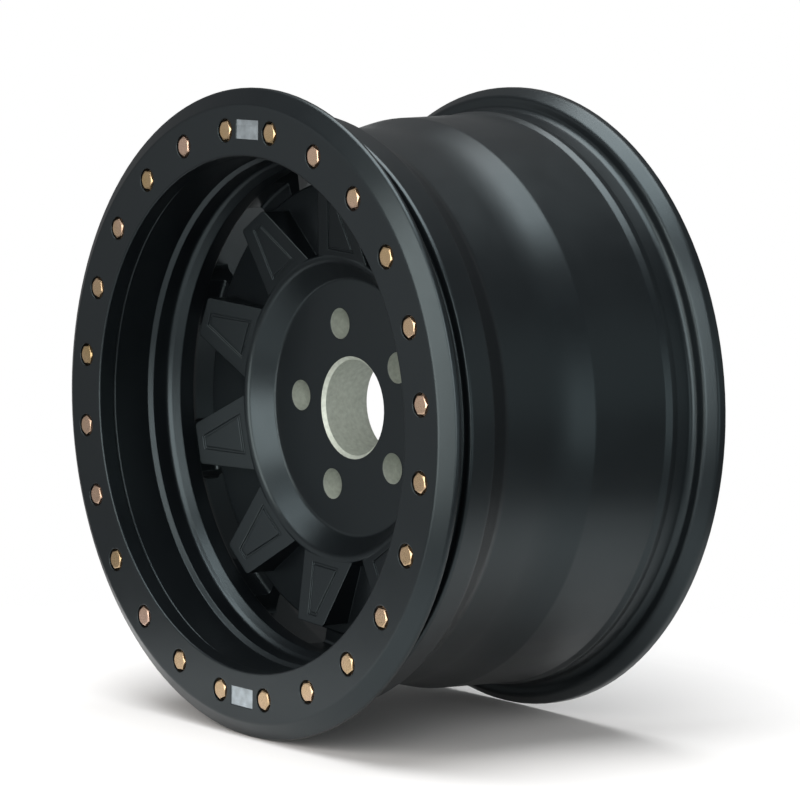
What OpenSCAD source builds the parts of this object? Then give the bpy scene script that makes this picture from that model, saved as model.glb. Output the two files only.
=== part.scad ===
// Beadlock wheel: a one-piece cast wheel whose outer tyre bead is clamped by a bolted ring.
// The wheel's axis is Y, its outer face looks along -Y, and Y = 0 is the hub's mounting face.
// Shapes are drawn as turned on a lathe, with the axis along Z, and laid over at the end.

/* [Rim] */
// Width between the two faces that hold the tyre beads (9 inches)
rim_w = 228.6; // [215:0.1:245]
// Mounting face to the middle of the rim, minus where the face lies inboard of the middle
wheel_offset = -12; // [-20:1:0]
// Radius of the rear bead seat (17-inch rim)
seat_r = 218.3; // [216:0.1:221]
// Height of the rear flange above its bead seat
flange_h = 17.3; // [15:0.1:19]
// Width of the rear flange along the axis
flange_w = 16; // [14:0.5:19]
// Thickness of the barrel wall
barrel_wall = 7; // [5.5:0.5:8.5]
// Depth of the drop centre below the rear bead seat
drop_d = 11.3; // [9:0.1:13]
// Height of the safety hump above the rear shelf
hump_h = 2; // [1:0.1:2.5]
// Radius of the valve hole, a rubber snap-in size
valve_r = 5.75; // [5.65:0.05:5.85]

/* [Bead pocket] */
// Width of the pocket that the outer bead sits in
bead_gap = 19; // [17:0.5:21]
// Depth of the pocket's floor below the rear bead seat
register_d = 4.8; // [3:0.1:6]
// Height of the shoulder behind the pocket above the rear bead seat
shoulder_h = 2.7; // [1:0.1:4]
// Length of the front bead seat on that shoulder
shoulder_l = 23; // [20:0.5:26]
// Width of the land between its bore and the pocket's floor
land_w = 23; // [21:0.5:25]
// Height of the step between the land's bore and the wall behind it
land_step = 3; // [2:0.5:4]

/* [Beadlock ring] */
// How far the ring's inner edge stands over the land's bore
ring_overhang = 2.5; // [1:0.5:4]
// How far the ring stands out beyond the rear flange
ring_proud = 1.9; // [0:0.1:4]
// Thickness of the ring
ring_t = 13.5; // [12:0.5:15]
// Width of the slope round the ring's flat face
ring_slope_w = 12.5; // [10:0.5:14]
// How far that slope drops from the flat face
ring_slope_h = 7.5; // [6:0.5:9]
// Length of each bare milled pad on the ring's face
mark_l = 27; // [20:1:29]
// Width of each bare milled pad
mark_w = 14; // [10:1:16]
// Depth of each bare milled pad
mark_d = 0.5; // [0.3:0.1:1]

/* [Ring bolts] */
// Number of bolts round the ring
bolt_n = 24; // [24:8:32]
// Distance of the bolts from the pocket's floor
bolt_inset = 6.1; // [5.6:0.1:6.6]
// Nominal bolt diameter (5/16 inch)
bolt_d = 7.94; // [6:0.02:8]
// Length of the bolt under its head
bolt_l = 31.75; // [28:0.25:35]
// Width across the flats of the bolt's head
head_af = 12.7; // [12:0.1:13]
// Height of the bolt's head
head_h = 5.3; // [4.5:0.1:6]
// Diameter of the washer under the head
washer_d = 16.7; // [15.5:0.1:17]
// Thickness of the washer
washer_t = 1.6; // [1.2:0.1:2]
// Depth of the counterbore that the head sits in
pocket_d = 6.5; // [6:0.1:7.5]

/* [Hub] */
// Radius of the centre bore
bore_r = 35.75; // [33:0.05:37]
// Radius of the lug circle (5 on 127 mm)
lug_circle_r = 63.5; // [60:0.1:65]
// Number of lug holes
lug_n = 5; // [5:1:6]
// Radius of the lug hole through the mounting face
lug_r = 7.5; // [7:0.1:8]
// Radius of the well in front of each lug seat
lug_well_r = 11.5; // [11:0.1:12.5]
// Thickness of the hub from its face to the mounting face
hub_t = 41; // [36:0.5:44]
// Radius of the flat face inside the hub's dish
hub_face_r = 96; // [94:0.5:98]
// Radius of the pad that meets the car's hub
mount_pad_r = 80; // [77:0.5:83]
// Middle radius of the hub's raised crest
crest_r = 111.5; // [110:0.5:113]
// Height of the crest above the mounting face
crest_h = 58; // [56:0.5:60]

/* [Spokes] */
// Number of spokes
spoke_n = 10; // [8:1:10]
// Turn of the first spoke, clockwise from the top
spoke_turn = 3.3; // [-10:0.1:10]
// Width of a spoke's pad at the hub
pad_root_w = 58; // [50:0.5:60]
// Width of a spoke's pad at its tip
pad_tip_w = 31; // [27:0.5:34]
// Gap between a pad's tip and the ledge inside the rim
pad_tip_gap = 21.5; // [18:0.5:25]
// Height of the pad's tip above the mounting face
pad_tip_h = 71; // [68:0.5:73]
// Depth of the outline groove cut in each pad
groove_d = 1.3; // [0.8:0.1:2]
// Width of the outline groove
groove_w = 2; // [1.5:0.1:3]
// Height of the web's front above the mounting face
web_h = 47.5; // [46:0.5:49]
// Thickness of the web
web_t = 13; // [11:0.5:15]
// Width of the channel between the web's edge and the ledge, where the windows open
channel_w = 10.5; // [9:0.5:13]
// Depth of the channel's floor below the web's front
channel_d = 6; // [4:0.5:7]
// Width of the ledge inside the rim where the spokes end
ledge_w = 18.5; // [16:0.5:21]
// Height of the ledge's crest above the mounting face
ledge_h = 74.8; // [73:0.1:77]
// Length of the ledge from its crest to its back
ledge_l = 18.5; // [16:0.5:20]
// Width of the neck that ties a spoke to the rim under the channel
neck_w = 37; // [34:0.5:40]

/* [Hidden] */
$fn = 96;

// Steps in which a rounded corner of an outline is drawn
round_steps = 4;
// Overshoot of a cut beyond the face it opens
over = 1;
// Gap between a bolt and the holes it passes through, and between a washer and its counterbore
thread_gap = 0.08;
hole_gap = 0.3;
washer_gap = 0.4;

// Places along the axis
front_y = wheel_offset - rim_w / 2;
rear_y = wheel_offset + rim_w / 2;
ring_face_y = front_y - ring_t;
pocket_y = ring_face_y + pocket_d;
head_y = pocket_y - washer_t;
lip_y = rear_y + flange_w;

// Rear flange and shelf
flange_r = seat_r + flange_h;
shelf_slope = tan(1.6);
shelf_from = front_y + bead_gap + 120.5;
shelf_r = seat_r - 4.5;
hump_y = rear_y - 19.8;
hump_l = 5;
hump_foot_r = shelf_r + (hump_y - hump_l - shelf_from) * shelf_slope;
seat_foot_r = seat_r - 1.2;

// Front shoulder, drop centre and land
register_r = seat_r - register_d;
shoulder_r = seat_r + shoulder_h;
shoulder_y = front_y + bead_gap;
drop_r = seat_r - drop_d;
drop_from = shoulder_y + shoulder_l + 20.5;
drop_to = drop_from + 49;
barrel_in_r = drop_r - barrel_wall;
land_r = register_r - land_w;
land_chamfer = 3;
wall_r = land_r - land_step;

// Ledge inside the rim where the spokes end, and the step in the wall in front of it
ledge_r = barrel_in_r - ledge_w;
ledge_y = -ledge_h;
ledge_back_y = ledge_y + ledge_l;
ledge_lead = 3;
land_step_y = front_y + (ledge_y - front_y) * 0.64;
valve_y = ledge_back_y + 23;

// Ring
ring_in_r = land_r - ring_overhang;
ring_out_r = flange_r + ring_proud;
ring_flat_r = ring_out_r - ring_slope_w;

// Ring bolt holes
bolt_r = bolt_d / 2;
bolt_circle_r = register_r - bolt_inset;
pocket_r = washer_d / 2 + washer_gap;
tapped_l = bolt_l - washer_t - (ring_t - pocket_d) + 4;

// Lug holes sit half way between the spokes
bore_chamfer = 2.5;
lug_turn = spoke_turn - 180 / spoke_n;
lug_cone_half = 30;
lug_seat_h = 18;

// Spoke pads rise from the crest to their tips
pad_tip_r = ledge_r - pad_tip_gap;
web_edge_r = ledge_r - channel_w;
pad_root_r = crest_r + 2.5;
pad_tilt = atan((pad_tip_h - crest_h) / (pad_tip_r - pad_root_r));
neck_h = web_h - channel_d;
neck_root = 6;

// One corner of an outline, drawn as a few points of an arc. Its radius p[2] is kept within the
// sides that meet there.
function unit(v) = v / norm(v);
function corner(a, p, b) =
    let (o = [p.x, p.y], to_a = [a.x, a.y] - o, to_b = [b.x, b.y] - o)
    let (u = unit(to_a), v = unit(to_b), half = acos(u * v) / 2)
    let (reach = min(p[2] / tan(half), norm(to_a) * 0.49, norm(to_b) * 0.49), r = reach * tan(half))
    let (c = o + unit(u + v) * r / sin(half), from = o + u * reach - c, to = o + v * reach - c)
    [for (i = [0:round_steps]) c + r * unit(from * (1 - i / round_steps) + to * i / round_steps)];

// An outline with its corners rounded: each point is [x, y, radius], and 0 keeps it sharp
function rounded(pts) = [
    for (i = [0:len(pts) - 1])
        let (n = len(pts), p = pts[i], drawn = corner(pts[(i + n - 1) % n], p, pts[(i + 1) % n]))
        each p[2] > 0 ? drawn : [[p.x, p.y]]
];

module turned(outline) {
    rotate_extrude($fn = 180) polygon(rounded(outline));
}

// Lays what was drawn on a lathe over, so that its axis runs along Y
module laid_over() {
    rotate([-90, 0, 0]) children();
}

// Turns children, drawn along +X, to a place clockwise from the top
module at_clock(angle) {
    rotate(angle - 90) children();
}

module spaced(count, turn) {
    for (i = [0:count - 1]) at_clock(turn + i * 360 / count) children();
}

module at_bolts() {
    spaced(bolt_n, 180 / bolt_n) translate([bolt_circle_r, 0, 0]) children();
}

// Wheel: barrel, flange and land

module rim() {
    turned([
        [land_r + land_chamfer, front_y, 0],
        [register_r, front_y, 1],
        [register_r, shoulder_y, 3],
        [shoulder_r, shoulder_y, 3],
        [shoulder_r - 2, shoulder_y + shoulder_l, 6],
        [drop_r, drop_from, 14],
        [drop_r, drop_to, 120],
        [shelf_r, shelf_from, 12],
        [hump_foot_r, hump_y - hump_l, 4],
        [hump_foot_r + hump_h, hump_y, 2.5],
        [seat_foot_r, hump_y + hump_l, 3],
        [seat_r, rear_y, 5],
        [flange_r - 7, rear_y, 5],
        [flange_r, rear_y + 9, 5],
        [flange_r, lip_y, 2],
        [flange_r - 8, lip_y, 3],
        [seat_r + 3, lip_y - 5, 6],
        [seat_r - barrel_wall + 1, lip_y - 5, 2],
        [seat_r - barrel_wall - 1, lip_y - 10, 4],
        [shelf_r - barrel_wall, shelf_from + 2, 12],
        [barrel_in_r, drop_to + 2, 12],
        [barrel_in_r, ledge_back_y + 12, 8],
        [ledge_r, ledge_back_y, 2],
        [ledge_r, ledge_y + 6, 2],
        [ledge_r + 3.5, ledge_y, 2],
        [wall_r, ledge_y - ledge_lead, 5],
        [wall_r, land_step_y + land_step, 0],
        [land_r, land_step_y, 0],
        [land_r, front_y + land_chamfer, 0],
    ]);
}

// Wheel: hub, crest, web and the cone behind them

module disc() {
    turned([
        [bore_r, 0, 0],
        [bore_r, bore_chamfer - hub_t, 0],
        [bore_r + bore_chamfer, -hub_t, 0],
        [hub_face_r, -hub_t, 3],
        [crest_r - 2.5, -crest_h + 1, 6],
        [crest_r + 2.5, -crest_h, 1.5],
        [crest_r + 5, -web_h, 2],
        [web_edge_r - 2, -web_h, 2],
        [web_edge_r, -neck_h, 0],
        [ledge_r + 1, -neck_h, 3],
        [ledge_r + 0.4, ledge_back_y - 3, 0],
        [barrel_in_r + 2, ledge_back_y - 3, 0],
        [barrel_in_r + 2, web_t - web_h + neck_root, 0],
        [web_edge_r, web_t - web_h + 1, 12],
        [crest_r + 6, web_t - web_h + 3, 14],
        [mount_pad_r + 12, -5, 8],
        [mount_pad_r, -5, 2],
        [mount_pad_r, 0, 1],
    ]);
}

// The window between two necks: it runs from the web's edge out to the barrel, behind the ledge
module window() {
    half_pitch = 180 / spoke_n;
    out_r = barrel_in_r + 1;
    front = neck_root + ledge_h - ledge_l;
    in_x = web_edge_r * cos(half_pitch) - 4;
    in_half = web_edge_r * sin(half_pitch) - neck_w / 2;
    out_half = out_r * sin(half_pitch) - neck_w / 2 - 2;
    translate([0, 0, -front])
        linear_extrude(front - web_h + web_t + neck_root + 2 * over)
            difference() {
                polygon(rounded([
                    [in_x, -in_half, 0],
                    [in_x, in_half, 0],
                    [out_r, out_half, 9],
                    [out_r, -out_half, 9],
                ]));
                circle(web_edge_r - 0.6);
            }
}

// Everything outboard of a spoke's sloping top, less an allowance
module above_pad(lift) {
    reach = pad_tip_r;
    translate([pad_root_r, 0, -crest_h])
        rotate([0, pad_tilt, 0])
            translate([-reach, -reach, -reach - lift])
                cube([3 * reach, 2 * reach, reach]);
}

// A raised pad, wide at the hub and narrow at its tip
module pad() {
    root_from = crest_r - 1;
    difference() {
        translate([0, 0, -pad_tip_h - over])
            linear_extrude(pad_tip_h + over - web_h + 2)
                polygon(rounded([
                    [root_from, -pad_root_w / 2, 0],
                    [root_from, pad_root_w / 2, 0],
                    [pad_tip_r, pad_tip_w / 2, 3],
                    [pad_tip_r, -pad_tip_w / 2, 3],
                ]));
        above_pad(0);
    }
}

// The outline groove sunk in a pad's sloping top
module pad_groove() {
    root_x = 3.5;
    tip_x = (pad_tip_r - pad_root_r) / cos(pad_tilt) - 6;
    root_half = pad_root_w * 0.27;
    tip_half = pad_tip_w * 0.165;
    translate([pad_root_r, 0, -crest_h])
        rotate([0, pad_tilt, 0])
            translate([0, 0, -over])
                linear_extrude(over + groove_d)
                    difference() {
                        polygon([
                            [root_x, -root_half],
                            [root_x, root_half],
                            [tip_x, tip_half],
                            [tip_x, -tip_half],
                        ]);
                        polygon([
                            [root_x + groove_w, -root_half + groove_w * 1.2],
                            [root_x + groove_w, root_half - groove_w * 1.2],
                            [tip_x - groove_w, tip_half - groove_w * 0.9],
                            [tip_x - groove_w, -tip_half + groove_w * 0.9],
                        ]);
                    }
}

// The cast pocket behind each spoke, which keeps its wall even
module spoke_back_pocket() {
    wall = 9;
    root_from = crest_r + 10;
    difference() {
        translate([0, 0, -pad_tip_h])
            linear_extrude(pad_tip_h)
                polygon(rounded([
                    [root_from, wall - pad_root_w * 0.42, 4],
                    [root_from, pad_root_w * 0.42 - wall, 4],
                    [pad_tip_r - wall, pad_tip_w / 2 - wall + 2, 4],
                    [pad_tip_r - wall, wall - 2 - pad_tip_w / 2, 4],
                ]));
        above_pad(-wall);
    }
}

// The cast pocket in the hub's back, between two lug holes
module hub_back_pocket() {
    depth = 20;
    translate([0, 0, -depth])
        linear_extrude(depth + over)
            polygon(rounded([
                [bore_r + 12, -6, 4],
                [bore_r + 12, 6, 4],
                [mount_pad_r - 7, 15, 5],
                [mount_pad_r - 7, -15, 5],
            ]));
}

module lug_hole() {
    well_y = -lug_seat_h;
    cone_h = (lug_well_r - lug_r) / tan(lug_cone_half);
    translate([lug_circle_r, 0, 0]) {
        translate([0, 0, -hub_t - over]) cylinder(h = hub_t + 2 * over, r = lug_r);
        translate([0, 0, -hub_t - over]) cylinder(h = hub_t + over + well_y, r = lug_well_r);
        translate([0, 0, well_y]) cylinder(h = cone_h, r1 = lug_well_r, r2 = lug_r);
    }
}

module bolt_hole() {
    translate([0, 0, front_y - over]) cylinder(h = tapped_l + over, r = bolt_r + thread_gap);
}

// The valve hole crosses the barrel's wall beside a window, where the stem can be reached
module valve_hole() {
    at_clock(lug_turn)
        translate([barrel_in_r - over, 0, valve_y])
            rotate([0, 90, 0])
                cylinder(h = barrel_wall + 2 * over, r = valve_r);
}

module wheel() {
    color("#25292b") laid_over() difference() {
        union() {
            rim();
            difference() {
                disc();
                spaced(spoke_n, spoke_turn + 180 / spoke_n) window();
            }
            spaced(spoke_n, spoke_turn) pad();
        }
        spaced(spoke_n, spoke_turn) pad_groove();
        spaced(spoke_n, spoke_turn) spoke_back_pocket();
        spaced(lug_n, lug_turn) lug_hole();
        spaced(lug_n, lug_turn + 180 / lug_n) hub_back_pocket();
        translate([0, 0, -hub_t - over]) cylinder(h = hub_t + 2 * over, r = bore_r);
        at_bolts() bolt_hole();
        valve_hole();
    }
}

// Beadlock ring

module ring_body() {
    edge_h = 3;
    turned([
        [ring_in_r, ring_face_y, 1.2],
        [ring_flat_r, ring_face_y, 5],
        [ring_out_r, ring_face_y + ring_slope_h, 3],
        [ring_out_r, front_y - edge_h, 1.5],
        [ring_out_r - edge_h, front_y, 0],
        [ring_in_r, front_y, 1],
    ]);
}

module ring_bolt_hole() {
    translate([0, 0, ring_face_y - over])
        cylinder(h = ring_t + 2 * over, r = bolt_r + hole_gap);
    translate([0, 0, ring_face_y - over])
        cylinder(h = pocket_d + over, r = pocket_r);
}

// A bare milled pad between two bolts
module ring_mark() {
    translate([bolt_circle_r - mark_w / 2, -mark_l / 2, ring_face_y - over])
        cube([mark_w, mark_l, over + mark_d]);
}

module beadlock_ring() {
    color("#2b3032") laid_over() difference() {
        ring_body();
        at_bolts() ring_bolt_hole();
        spaced(2, 0) ring_mark();
    }
}

// Washers and bolts

module ring_washers() {
    color("#c9a063") laid_over() at_bolts()
        translate([0, 0, head_y]) difference() {
            cylinder(h = washer_t, d = washer_d);
            translate([0, 0, -over]) cylinder(h = washer_t + 2 * over, r = bolt_r + hole_gap);
        }
}

module ring_bolt() {
    translate([0, 0, head_y - head_h]) {
        intersection() {
            rotate(30) cylinder(h = head_h, d = head_af / cos(30), $fn = 6);
            cylinder(h = head_h, r1 = head_af / 2 - 0.2, r2 = head_af / 2 + 3.8);
        }
        cylinder(h = head_h + bolt_l, r = bolt_r);
    }
}

module ring_bolts() {
    color("#d8b078") laid_over() at_bolts() ring_bolt();
}

wheel();
beadlock_ring();
ring_washers();
ring_bolts();
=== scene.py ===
# Looks of the beadlock wheel: powder coat, bare metal, bolts with their threads, and the photo's view of it
import math
import bmesh
import bpy
from mathutils import Matrix, Vector


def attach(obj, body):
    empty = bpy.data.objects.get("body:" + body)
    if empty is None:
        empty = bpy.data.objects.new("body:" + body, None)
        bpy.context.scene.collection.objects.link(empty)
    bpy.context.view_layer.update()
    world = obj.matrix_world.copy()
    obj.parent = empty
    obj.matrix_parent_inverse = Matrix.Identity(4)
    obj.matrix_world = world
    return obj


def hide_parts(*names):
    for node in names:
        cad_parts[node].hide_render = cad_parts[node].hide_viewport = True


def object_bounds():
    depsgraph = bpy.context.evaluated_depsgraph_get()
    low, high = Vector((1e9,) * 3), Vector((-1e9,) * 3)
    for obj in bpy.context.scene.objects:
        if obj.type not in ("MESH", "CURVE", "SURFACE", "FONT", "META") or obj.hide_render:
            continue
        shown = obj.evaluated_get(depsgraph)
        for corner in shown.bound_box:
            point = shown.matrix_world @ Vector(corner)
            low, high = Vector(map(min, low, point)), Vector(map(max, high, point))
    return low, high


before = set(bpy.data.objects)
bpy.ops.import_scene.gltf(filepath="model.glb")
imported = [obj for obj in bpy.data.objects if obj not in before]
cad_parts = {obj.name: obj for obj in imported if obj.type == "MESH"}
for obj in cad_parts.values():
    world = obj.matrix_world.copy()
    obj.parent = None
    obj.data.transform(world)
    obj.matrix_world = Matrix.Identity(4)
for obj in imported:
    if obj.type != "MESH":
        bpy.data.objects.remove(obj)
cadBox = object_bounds()
print("frame loaded:", sorted(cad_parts))

scene = bpy.context.scene
scene.view_settings.view_transform = "Standard"

# Nearly all the values of a noise lie in this span
noiseSpan = (0.3, 0.7)
bevelSamples = 6
joinForm = {
    "mergeDistance": 2e-6,
    "flatAngle": 0.4,
    "faceWeight": 100,
}


def addNode(tree, kind, **settings):
    node = tree.nodes.new(kind)
    for name, value in settings.items():
        setattr(node, name, value)
    return node


def setInputs(node, values):
    for name, value in values.items():
        node.inputs[name].default_value = value


def newGroup(name, inputs, outputs):
    tree = bpy.data.node_groups.new(name, "ShaderNodeTree")
    for label, kind, value in inputs:
        socket = tree.interface.new_socket(label, in_out="INPUT", socket_type=kind)
        socket.default_value = value
    for label, kind in outputs:
        tree.interface.new_socket(label, in_out="OUTPUT", socket_type=kind)
    return tree, addNode(tree, "NodeGroupInput"), addNode(tree, "NodeGroupOutput")


def noise(tree, vector, scale, detail=3.0, roughness=0.5):
    node = addNode(tree, "ShaderNodeTexNoise")
    setInputs(node, {"Scale": scale, "Detail": detail, "Roughness": roughness})
    tree.links.new(vector, node.inputs["Vector"])
    return node.outputs["Fac"]


def remap(tree, value, span, ends):
    node = addNode(tree, "ShaderNodeMapRange")
    setInputs(node, {"From Min": span[0], "From Max": span[1], "To Min": ends[0], "To Max": ends[1]})
    tree.links.new(value, node.inputs["Value"])
    return node.outputs["Result"]


def vary(tree, value, middle, spread):
    return remap(tree, value, noiseSpan, (middle - spread, middle + spread))


def multiplyAdd(tree, value, factor, addend):
    node = addNode(tree, "ShaderNodeMath", operation="MULTIPLY_ADD")
    tree.links.new(value, node.inputs[0])
    if isinstance(factor, float):
        node.inputs[1].default_value = factor
    else:
        tree.links.new(factor, node.inputs[1])
    node.inputs[2].default_value = addend
    return node.outputs[0]


def objectFrom(bm, name):
    mesh = bpy.data.meshes.new(name)
    bm.to_mesh(mesh)
    bm.free()
    made = bpy.data.objects.new(name, mesh)
    scene.collection.objects.link(made)
    return made


# Powder coat: a fine orange peel in the surface, and cloudy changes of gloss and tone
coatForm = {
    "peelDetail": 2.0,
    "peelRoughness": 0.55,
    "cloudScale": 22.0,
    "cloudDetail": 4.0,
    "cloudRoughness": 0.6,
    "broadScale": 9.0,
    "broadDetail": 2.0,
}


def coatGroup():
    form = coatForm
    tree, start, end = newGroup(
        "coatGrain",
        [("Peel Scale", "NodeSocketFloat", 700.0), ("Tone Spread", "NodeSocketFloat", 0.1)],
        [("Height", "NodeSocketFloat"), ("Gloss", "NodeSocketFloat"), ("Tone", "NodeSocketFloat")],
    )
    where = addNode(tree, "ShaderNodeTexCoord").outputs["Object"]
    peel = addNode(tree, "ShaderNodeTexNoise")
    setInputs(peel, {"Detail": form["peelDetail"], "Roughness": form["peelRoughness"]})
    tree.links.new(where, peel.inputs["Vector"])
    tree.links.new(start.outputs["Peel Scale"], peel.inputs["Scale"])
    tree.links.new(peel.outputs["Fac"], end.inputs["Height"])
    cloud = noise(tree, where, form["cloudScale"], form["cloudDetail"], form["cloudRoughness"])
    tree.links.new(vary(tree, cloud, 0.0, 1.0), end.inputs["Gloss"])
    broad = vary(tree, noise(tree, where, form["broadScale"], form["broadDetail"]), 0.0, 1.0)
    tree.links.new(multiplyAdd(tree, broad, start.outputs["Tone Spread"], 1.0), end.inputs["Tone"])
    return tree


coatGrain = coatGroup()


def newMaterial(name):
    material = bpy.data.materials.new(name)
    material.use_nodes = True
    tree = material.node_tree
    shader = tree.nodes["Principled BSDF"]
    return material, tree, shader


def scaleColour(tree, colour, factor):
    node = addNode(tree, "ShaderNodeVectorMath", operation="SCALE")
    node.inputs[0].default_value = colour[:3]
    tree.links.new(factor, node.inputs["Scale"])
    return node.outputs["Vector"]


def addBump(tree, shader, height, strength, distance, edgeRadius):
    bump = addNode(tree, "ShaderNodeBump")
    setInputs(bump, {"Strength": strength, "Distance": distance})
    tree.links.new(height, bump.inputs["Height"])
    if edgeRadius:
        edge = addNode(tree, "ShaderNodeBevel", samples=bevelSamples)
        edge.inputs["Radius"].default_value = edgeRadius
        tree.links.new(edge.outputs["Normal"], bump.inputs["Normal"])
    tree.links.new(bump.outputs["Normal"], shader.inputs["Normal"])


def powderCoat(name, look):
    material, tree, shader = newMaterial(name)
    grain = addNode(tree, "ShaderNodeGroup", node_tree=coatGrain)
    setInputs(grain, {"Peel Scale": look["peelScale"], "Tone Spread": look["toneSpread"]})
    tone = scaleColour(tree, look["colour"], grain.outputs["Tone"])
    tree.links.new(tone, shader.inputs["Base Color"])
    gloss = multiplyAdd(tree, grain.outputs["Gloss"], look["roughnessSpread"], look["roughness"])
    tree.links.new(gloss, shader.inputs["Roughness"])
    setInputs(shader, {"Specular IOR Level": look["specular"], "Specular Tint": look["sheen"]})
    addBump(tree, shader, grain.outputs["Height"], look["peel"], look["peelHeight"],
            look["edgeRadius"])
    return material


def bareMetal(name, look):
    material, tree, shader = newMaterial(name)
    where = addNode(tree, "ShaderNodeTexCoord").outputs["Object"]
    squash = addNode(tree, "ShaderNodeMapping", vector_type="POINT")
    squash.inputs["Scale"].default_value = look["grainStretch"]
    tree.links.new(where, squash.inputs["Vector"])
    grain = noise(tree, squash.outputs["Vector"], look["grainScale"])
    mottle = noise(tree, where, look["mottleScale"])
    tone = vary(tree, mottle, 1.0, look["mottle"])
    tree.links.new(scaleColour(tree, look["colour"], tone), shader.inputs["Base Color"])
    rough = vary(tree, grain, look["roughness"], look["roughnessSpread"])
    tree.links.new(rough, shader.inputs["Roughness"])
    shader.inputs["Metallic"].default_value = look["metallic"]
    addBump(tree, shader, grain, look["grainDepth"], look["grainHeight"], 0)
    return material


def zincPlate(name, look):
    material, tree, shader = newMaterial(name)
    where = addNode(tree, "ShaderNodeTexCoord").outputs["Object"]
    film = noise(tree, where, look["filmScale"], look["noiseDetail"])
    ramp = addNode(tree, "ShaderNodeValToRGB")
    stops = ramp.color_ramp.elements
    stops.new(look["filmStops"][1])
    for stop, position, colour in zip(stops, look["filmStops"], look["colours"]):
        stop.position = position
        stop.color = colour
    tree.links.new(film, ramp.inputs["Fac"])
    tree.links.new(ramp.outputs["Color"], shader.inputs["Base Color"])
    fine = noise(tree, where, look["grainScale"], look["noiseDetail"])
    rough = vary(tree, fine, look["roughness"], look["roughnessSpread"])
    tree.links.new(rough, shader.inputs["Roughness"])
    shader.inputs["Metallic"].default_value = look["metallic"]
    addBump(tree, shader, fine, look["grainDepth"], look["grainHeight"], look["edgeRadius"])
    return material


# A CAD node's mesh is loose triangles: a copy is joined up, its flat faces made whole and its
# edges parted into sharp and smooth, so that it shades as turned and cast metal does
def joinedCopy(nodeName, pieceName, sharpAngle):
    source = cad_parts[nodeName]
    bm = bmesh.new()
    bm.from_mesh(source.data)
    bmesh.ops.remove_doubles(bm, verts=bm.verts, dist=joinForm["mergeDistance"])
    bmesh.ops.dissolve_limit(bm, angle_limit=math.radians(joinForm["flatAngle"]), verts=bm.verts,
                             edges=bm.edges)
    for face in bm.faces:
        face.smooth = True
    for edge in bm.edges:
        edge.smooth = not edge.is_manifold or edge.calc_face_angle(0) < math.radians(sharpAngle)
    piece = objectFrom(bm, pieceName)
    weighted = piece.modifiers.new("weightedNormals", "WEIGHTED_NORMAL")
    weighted.keep_sharp = True
    weighted.weight = joinForm["faceWeight"]
    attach(piece, "root")
    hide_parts(nodeName)
    return piece


def paint(piece, materials, choose):
    for material in materials:
        piece.data.materials.append(material)
    for face in piece.data.polygons:
        face.material_index = choose(face)


# Cast wheel
wheelLook = {
    "colour": (0.0018, 0.0023, 0.0030),
    "roughness": 0.34,
    "roughnessSpread": 0.03,
    "specular": 0.47,
    "sheen": (0.75, 0.94, 1.0, 1),
    "peelScale": 900.0,
    "peel": 0.12,
    "peelHeight": 0.0004,
    "toneSpread": 0.06,
    "edgeRadius": 0.0012,
    "sharpAngle": 26,
}
hubLook = {
    "boreRadius": 0.0385,
    "lugCircle": 0.0635,
    "lugCount": 5,
    "lugTurn": 3.3 - 18,
    "wellRadius": 0.0118,
    "backY": 0.0005,
    "flatNormal": 0.999,
    "colour": (0.42, 0.46, 0.41),
    "metallic": 0.5,
    "roughness": 0.6,
    "roughnessSpread": 0.07,
    "grainScale": 700.0,
    "grainStretch": (1.0, 3.0, 1.0),
    "grainDepth": 0.35,
    "grainHeight": 0.0002,
    "mottleScale": 300.0,
    "mottle": 0.12,
}


# The bore and the lug wells are cut after the coat, so a face that lies wholly in one is bare
def castWheel():
    piece = joinedCopy("wheel", "castWheel", wheelLook["sharpAngle"])
    wells = [(0.0, 0.0, hubLook["boreRadius"])]
    for i in range(hubLook["lugCount"]):
        angle = math.radians(hubLook["lugTurn"] + i * 360 / hubLook["lugCount"])
        wells.append((hubLook["lugCircle"] * math.sin(angle),
                      hubLook["lugCircle"] * math.cos(angle), hubLook["wellRadius"]))
    points = piece.data.vertices

    def bare(face):
        corners = [points[i].co for i in face.vertices]
        if max(corner.y for corner in corners) > hubLook["backY"]:
            return 0
        if abs(face.normal.y) > hubLook["flatNormal"]:
            return 0
        for x, z, radius in wells:
            if all(math.hypot(corner.x - x, corner.z - z) < radius for corner in corners):
                return 1
        return 0

    paint(piece, [powderCoat("wheelPowderCoat", wheelLook), bareMetal("turnedAluminium", hubLook)],
          bare)
    print("cast wheel:", len(piece.data.polygons), "faces")


# Beadlock ring
ringLook = dict(wheelLook, roughness=0.32, peel=0.10, sharpAngle=24)
markLook = {
    "faceY": -0.1398,
    "depth": 0.0005,
    "depthSlack": 0.0001,
    "flatNormal": 0.9,
    "colour": (0.38, 0.43, 0.46),
    "metallic": 0.9,
    "roughness": 0.38,
    "roughnessSpread": 0.07,
    "grainScale": 900.0,
    "grainStretch": (0.08, 1.0, 1.0),
    "grainDepth": 0.5,
    "grainHeight": 0.0002,
    "mottleScale": 160.0,
    "mottle": 0.2,
}


# The two milled pads lie a little below the ring's face and are bare
def ringFinish(face):
    milled = abs(face.center.y - markLook["faceY"] - markLook["depth"]) < markLook["depthSlack"]
    return 1 if milled and abs(face.normal.y) > markLook["flatNormal"] else 0


def clampRing():
    piece = joinedCopy("beadlock_ring", "clampRing", ringLook["sharpAngle"])
    paint(piece, [powderCoat("ringPowderCoat", ringLook), bareMetal("milledPad", markLook)],
          ringFinish)
    print("ring:", len(piece.data.polygons), "faces")


castWheel()
clampRing()

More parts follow.
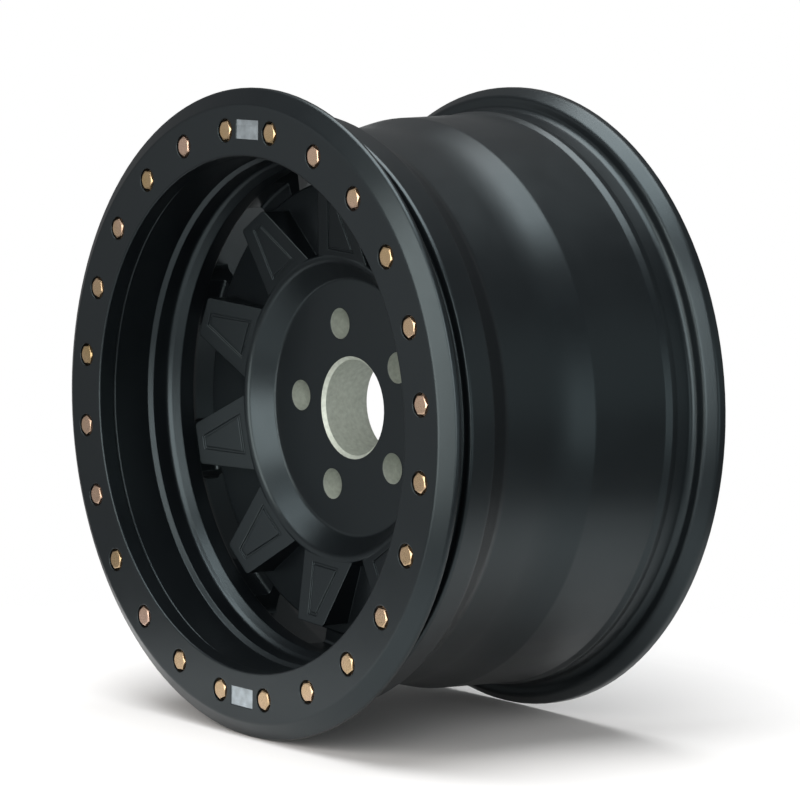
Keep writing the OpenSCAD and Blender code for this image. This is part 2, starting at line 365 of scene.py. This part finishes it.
# Bolts and washers
boltLook = {
    "colours": [(0.43, 0.31, 0.16, 1), (0.50, 0.36, 0.23, 1), (0.53, 0.37, 0.29, 1)],
    "filmScale": 14.0,
    "filmStops": (0.32, 0.5, 0.68),
    "noiseDetail": 2.0,
    "roughness": 0.3,
    "roughnessSpread": 0.06,
    "metallic": 0.9,
    "grainScale": 1500.0,
    "grainDepth": 0.15,
    "grainHeight": 0.0001,
    "edgeRadius": 0.0002,
}
boltForm = {
    "count": 24,
    "circle": 0.2074,
    "seatY": -0.1349,
    "headFlats": 0.0127,
    "headHeight": 0.0053,
    "headSegments": 48,
    "headTurn": (37, 60),
    "crownRadius": 0.0058,
    "crownSlope": 0.5,
    "shankRadius": 0.00397,
    "length": 0.03175,
    "plainLength": 0.0085,
    "pitch": 0.001411,
    "threadDepth": 0.00078,
    "threadCrest": (0.44, 0.56),
    "threadSink": 0.0001,
    "turnSegments": 20,
    "sharpAngle": 24,
}
washerSharpAngle = 20


def ringOf(bm, edges):
    made = bmesh.ops.extrude_edge_only(bm, edges=edges)["geom"]
    verts = [part for part in made if isinstance(part, bmesh.types.BMVert)]
    return verts, [part for part in made if isinstance(part, bmesh.types.BMEdge) and
                   all(vert in verts for vert in part.verts)]


# A hexagon head whose crown is turned: its top is a circle that slopes off towards the corners
def boltHead(bm, form):
    made = bmesh.ops.create_circle(bm, segments=form["headSegments"], radius=1.0)["verts"]
    for vert in made:
        angle = math.atan2(vert.co.y, vert.co.x)
        off = (angle + math.pi) % (math.pi / 3) - math.pi / 6
        reach = form["headFlats"] / 2 / math.cos(off)
        vert.co = (reach * math.cos(angle), reach * math.sin(angle), 0)
    rim = list({edge for vert in made for edge in vert.link_edges})
    bmesh.ops.contextual_create(bm, geom=rim)
    verts, rim = ringOf(bm, rim)
    for vert in verts:
        beyond = max(0.0, vert.co.xy.length - form["crownRadius"])
        vert.co.z = form["headHeight"] - beyond * form["crownSlope"]
    verts, rim = ringOf(bm, rim)
    for vert in verts:
        vert.co.xy = vert.co.xy.normalized() * form["crownRadius"]
        vert.co.z = form["headHeight"]
    bmesh.ops.contextual_create(bm, geom=rim)


# The plain shank below the head, then the thread: its profile is carried down a helix
def boltShank(bm, form):
    plain = bmesh.ops.create_cone(bm, segments=form["turnSegments"] * 2, cap_ends=True,
                                  radius1=form["shankRadius"], radius2=form["shankRadius"],
                                  depth=form["plainLength"])["verts"]
    bmesh.ops.translate(bm, verts=plain, vec=(0, 0, -form["plainLength"] / 2))
    root = form["shankRadius"] - form["threadDepth"]
    core = bmesh.ops.create_cone(bm, segments=form["turnSegments"], cap_ends=True,
                                 radius1=root, radius2=root,
                                 depth=form["length"] - form["plainLength"])["verts"]
    bmesh.ops.translate(bm, verts=core, vec=(0, 0, -(form["length"] + form["plainLength"]) / 2))
    pitch = form["pitch"]
    top = -form["plainLength"] + pitch / 2
    sunk = root - form["threadSink"]
    crest = [(form["shankRadius"], top - pitch * share) for share in form["threadCrest"]]
    profile = [(sunk, top)] + crest + [(sunk, top - pitch)]
    verts = [bm.verts.new((r, 0, z)) for r, z in profile]
    edges = [bm.edges.new(pair) for pair in zip(verts, verts[1:])]
    turns = math.floor((form["length"] - form["plainLength"]) / pitch - 0.5)
    steps = turns * form["turnSegments"]
    bmesh.ops.spin(bm, geom=verts + edges, cent=(0, 0, 0), axis=(0, 0, 1),
                   dvec=(0, 0, -turns * pitch / steps), angle=turns * math.tau, steps=steps)


# Every head stands at its own angle, as bolts do once they are tight
def boltsPiece(finish):
    form = boltForm
    turnStep, turnSpan = form["headTurn"]
    bm = bmesh.new()
    boltHead(bm, form)
    boltShank(bm, form)
    single = bpy.data.meshes.new("singleBolt")
    bmesh.ops.recalc_face_normals(bm, faces=bm.faces)
    bm.to_mesh(single)
    bm.free()
    bm = bmesh.new()
    for i in range(form["count"]):
        known = len(bm.verts)
        bm.from_mesh(single)
        bm.verts.ensure_lookup_table()
        added = bm.verts[known:]
        angle = math.radians((i + 0.5) * 360 / form["count"])
        turned = Matrix.Rotation(math.radians(90), 4, "X") @ Matrix.Rotation(
            math.radians(i * turnStep % turnSpan), 4, "Z")
        place = Matrix.Translation((form["circle"] * math.sin(angle), form["seatY"],
                                    form["circle"] * math.cos(angle)))
        bmesh.ops.transform(bm, matrix=place @ turned, verts=added)
    for edge in bm.edges:
        edge.smooth = edge.is_manifold and edge.calc_face_angle(0) < math.radians(form["sharpAngle"])
    for face in bm.faces:
        face.smooth = True
    bpy.data.meshes.remove(single)
    piece = objectFrom(bm, "ringBolts")
    paint(piece, [finish], lambda face: 0)
    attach(piece, "root")
    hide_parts("ring_bolts")
    print("bolts:", sum(len(face.vertices) - 2 for face in piece.data.polygons), "triangles")


zinc = zincPlate("yellowZinc", boltLook)
boltsPiece(zinc)
washers = joinedCopy("ring_washers", "ringWashers", washerSharpAngle)
paint(washers, [zinc], lambda face: 0)
print("washers done")

# Floor, backdrop, lamps and camera
stageLook = {
    "floorSize": 4.0,
    "floorSegments": 64,
    "floorFade": (0.34, 0.6),
    "floorColour": (0.72, 0.72, 0.72, 1),
    "floorRoughness": 0.9,
    "backdropPlace": (-3.14, 2.47, -0.43),
    "backdropSize": 2.0,
    "worldStrength": 0.2,
}
lampLooks = {
    "topLamp": {"place": (0.0, -0.2, 2.5), "size": (2.5, 2.5), "power": 120.0,
                "colour": (1, 1, 1)},
    "faceLamp": {"place": (0.15, -2.6, 0.45), "size": (1.2, 2.6), "power": 57.0,
                 "colour": (1.0, 0.95, 0.9)},
    "cameraLamp": {"place": (2.0, -2.0, 0.75), "size": (1.4, 2.6), "power": 66.0,
                   "colour": (1.0, 0.97, 0.95)},
    "leftLamp": {"place": (-2.2, -2.8, 0.4), "size": (2.0, 2.0), "power": 6.2,
                 "colour": (1, 1, 1)},
    "sideLamp": {"place": (3.0, 0.3, 0.1), "size": (1.2, 1.6), "power": 10.0,
                 "colour": (0.95, 1.0, 1.0)},
    "backLamp": {"place": (2.3, 2.0, 0.7), "size": (2.4, 1.6), "power": 3.6,
                 "colour": (0.9, 1.0, 1.0)},
}
sensorWidth = 36.0
photoView = {
    "azimuth": 51.843,
    "elevation": 6.172,
    "roll": 0.777,
    "distance": 3.071,
    "aim": (0.00159, 0.00264, 0.0035),
    "lens": 184.95,
}


# A pale floor that fades out away from the wheel
def addFloor():
    bm = bmesh.new()
    bmesh.ops.create_circle(bm, segments=stageLook["floorSegments"],
                            radius=stageLook["floorSize"] / 2, cap_ends=True)
    floor = objectFrom(bm, "floor")
    floor.location.z = cadBox[0].z
    material, tree, shader = newMaterial("paleFloor")
    setInputs(shader, {"Base Color": stageLook["floorColour"],
                       "Roughness": stageLook["floorRoughness"], "Specular IOR Level": 0.0})
    where = addNode(tree, "ShaderNodeTexCoord").outputs["Object"]
    away = addNode(tree, "ShaderNodeVectorMath", operation="LENGTH")
    tree.links.new(where, away.inputs[0])
    cover = remap(tree, away.outputs["Value"], stageLook["floorFade"], (1.0, 0.0))
    tree.links.new(cover, shader.inputs["Alpha"])
    floor.data.materials.append(material)


# The white sheet behind the wheel, farther off than any camera stands
def addBackdrop():
    bm = bmesh.new()
    bmesh.ops.create_grid(bm, x_segments=1, y_segments=1, size=stageLook["backdropSize"] / 2)
    sheet = objectFrom(bm, "backdrop")
    sheet.location = stageLook["backdropPlace"]
    sheet.rotation_euler = Vector(stageLook["backdropPlace"]).to_track_quat("Z", "Y").to_euler()
    material, _, shader = newMaterial("whiteSheet")
    setInputs(shader, {"Base Color": (0, 0, 0, 1), "Specular IOR Level": 0.0,
                       "Emission Color": (1, 1, 1, 1), "Emission Strength": 1.0})
    sheet.data.materials.append(material)


def addWorld():
    world = bpy.data.worlds.new("studio")
    scene.world = world
    world.use_nodes = True
    light = world.node_tree.nodes["Background"]
    light.inputs["Color"].default_value = (1, 1, 1, 1)
    light.inputs["Strength"].default_value = stageLook["worldStrength"]


def addLamp(name, look):
    lamp = bpy.data.lights.new(name, "AREA")
    lamp.shape = "RECTANGLE"
    lamp.size, lamp.size_y = look["size"]
    lamp.energy = look["power"]
    lamp.color = look["colour"]
    holder = bpy.data.objects.new(name, lamp)
    holder.location = look["place"]
    holder.rotation_euler = (-Vector(look["place"])).to_track_quat("-Z", "Y").to_euler()
    scene.collection.objects.link(holder)


def addCamera():
    camera = bpy.data.cameras.new("photoCamera")
    camera.lens = photoView["lens"]
    camera.sensor_width = sensorWidth
    azimuth = math.radians(photoView["azimuth"])
    elevation = math.radians(photoView["elevation"])
    back = Vector((math.sin(azimuth) * math.cos(elevation),
                   -math.cos(azimuth) * math.cos(elevation), math.sin(elevation)))
    holder = bpy.data.objects.new("photoCamera", camera)
    turn = back.to_track_quat("Z", "Y").to_matrix() @ Matrix.Rotation(
        math.radians(photoView["roll"]), 3, "Z")
    holder.matrix_world = Matrix.Translation(
        Vector(photoView["aim"]) + back * photoView["distance"]) @ turn.to_4x4()
    scene.collection.objects.link(holder)
    scene.camera = holder


addFloor()
addBackdrop()
addWorld()
for lampName, lampLook in lampLooks.items():
    addLamp(lampName, lampLook)
addCamera()

print("ready")
